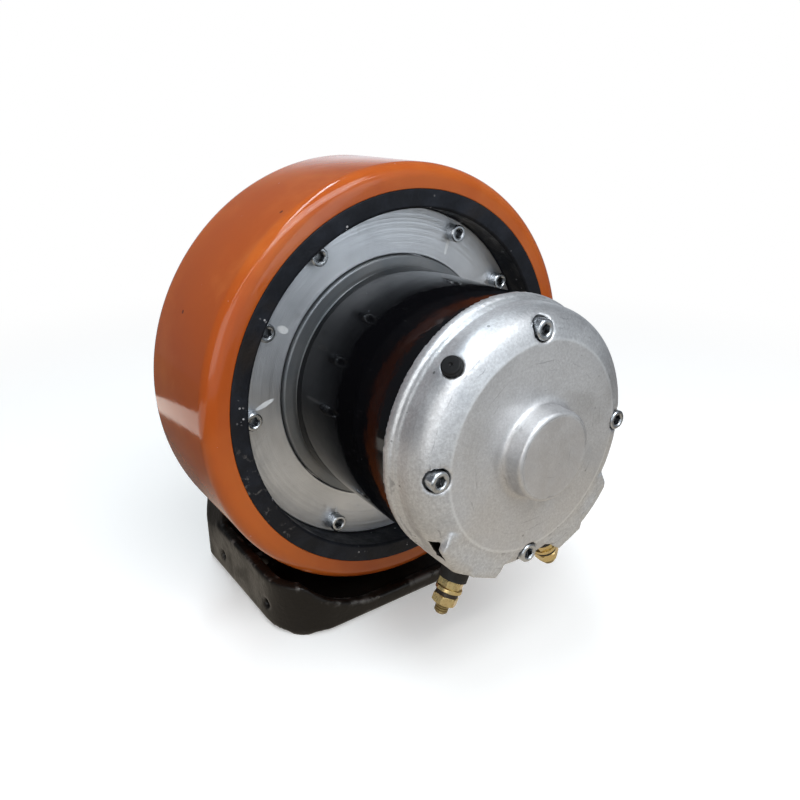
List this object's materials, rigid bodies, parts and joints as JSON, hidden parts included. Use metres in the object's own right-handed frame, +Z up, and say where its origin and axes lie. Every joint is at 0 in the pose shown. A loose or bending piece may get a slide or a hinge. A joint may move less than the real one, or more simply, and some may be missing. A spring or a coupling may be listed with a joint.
{
  "type": "electric drive wheel assembly",
  "caption": "Polyurethane drive wheel on a black bracket, turned by a brushed motor through a planet gear inside the hub.",
  "frame": {"origin": "centre of the base's four bolt holes, on the pads' lower face, under the middle of the tread", "axes": "+Z up, the wheel's axle along Y at z = 120 mm, the motor towards -Y, +X to the right seen from the motor"},
  "size_m": [0.21, 0.1987, 0.225],
  "materials": {
    "tread": "glossy orange polyurethane",
    "hub": "black paint on rough casting",
    "plate": "turned face",
    "screw": "zinc plated",
    "seal": "black",
    "gear_steel": "ground",
    "bearing_steel": "polished",
    "bracket": "satin black paint",
    "carrier": "machined",
    "flange": "dark grey, turned",
    "housing": "glossy black",
    "magnet": "ferrite, dark grey",
    "cap": "die cast, grainy satin",
    "black_rubber": "black",
    "insulation": "dark brown",
    "yellow_zinc": "yellow plated",
    "dark_spring": "oiled",
    "laminate": "brown laminate",
    "brass": "bright",
    "carbon": "carbon",
    "bronze": "bronze",
    "copper": "copper",
    "core": "laminated steel"
  },
  "bodies": {
    "frame": {"bracket": "bracket", "gear_carrier": "carrier", "spindle_spacer": "gear_steel", "spindle_clamp": "flange", "spindle_screws": "screw", "spindle_key": "gear_steel", "main_bearing_inner": "bearing_steel", "main_bearing_balls": "bearing_steel", "rear_bearing_inner": "bearing_steel", "rear_bearing_balls": "bearing_steel", "planet_pins": "gear_steel", "thrust_washers": "bronze", "motor_flange": "flange", "flange_screws": "screw", "motor_housing": "housing", "magnets": "magnet", "end_cap": "cap", "cap_bolts": "screw", "cap_plug": "black_rubber", "terminal_bushes": "insulation", "terminal_studs": "yellow_zinc", "terminal_nuts": "yellow_zinc", "terminal_washers": "yellow_zinc", "spring_washers": "dark_spring", "brush_plate": "laminate", "brush_holders": "brass", "brushes": "carbon", "brush_springs": "screw", "drive_bearing_outer": "bearing_steel", "drive_bearing_balls": "bearing_steel", "tail_bearing_outer": "bearing_steel", "tail_bearing_balls": "bearing_steel"},
    "wheel": {"tread": "tread", "wheel_hub": "hub", "cover_plate": "plate", "cover_screws": "screw", "cover_seal": "seal", "rear_seal": "seal", "ring_gear": "gear_steel", "ring_screws": "screw", "main_bearing_outer": "bearing_steel", "rear_bearing_outer": "bearing_steel"},
    "rotor": {"drive_bearing_inner": "bearing_steel", "tail_bearing_inner": "bearing_steel", "rotor_shaft": "gear_steel", "sun_pinion": "gear_steel", "armature_core": "core", "armature_winding": "copper", "commutator": "copper"},
    "planet_1": {"planet_gear_1": "gear_steel", "planet_bush_1": "bronze"},
    "planet_2": {"planet_gear_2": "gear_steel", "planet_bush_2": "bronze"},
    "planet_3": {"planet_gear_3": "gear_steel", "planet_bush_3": "bronze"}
  },
  "joints": [
    {"name": "wheel_spin", "type": "hinge", "parent": "frame", "child": "wheel", "pos_m": [0, 0, 0.12], "axis": [0, 1, 0], "continuous": true},
    {"name": "rotor_spin", "type": "hinge", "parent": "frame", "child": "rotor", "pos_m": [0, 0, 0.12], "axis": [0, 1, 0], "continuous": true},
    {"name": "planet_1_spin", "type": "hinge", "parent": "frame", "child": "planet_1", "pos_m": [0, 0, 0.15], "axis": [0, 1, 0], "continuous": true},
    {"name": "planet_2_spin", "type": "hinge", "parent": "frame", "child": "planet_2", "pos_m": [-0.02598, 0, 0.105], "axis": [0, 1, 0], "continuous": true},
    {"name": "planet_3_spin", "type": "hinge", "parent": "frame", "child": "planet_3", "pos_m": [0.02598, 0, 0.105], "axis": [0, 1, 0], "continuous": true}
  ],
  "couplings": [
    {"joint": "rotor_spin", "follows": "wheel_spin", "ratio": -20},
    {"joint": "planet_1_spin", "follows": "wheel_spin", "ratio": 5},
    {"joint": "planet_2_spin", "follows": "wheel_spin", "ratio": 5},
    {"joint": "planet_3_spin", "follows": "wheel_spin", "ratio": 5}
  ]
}
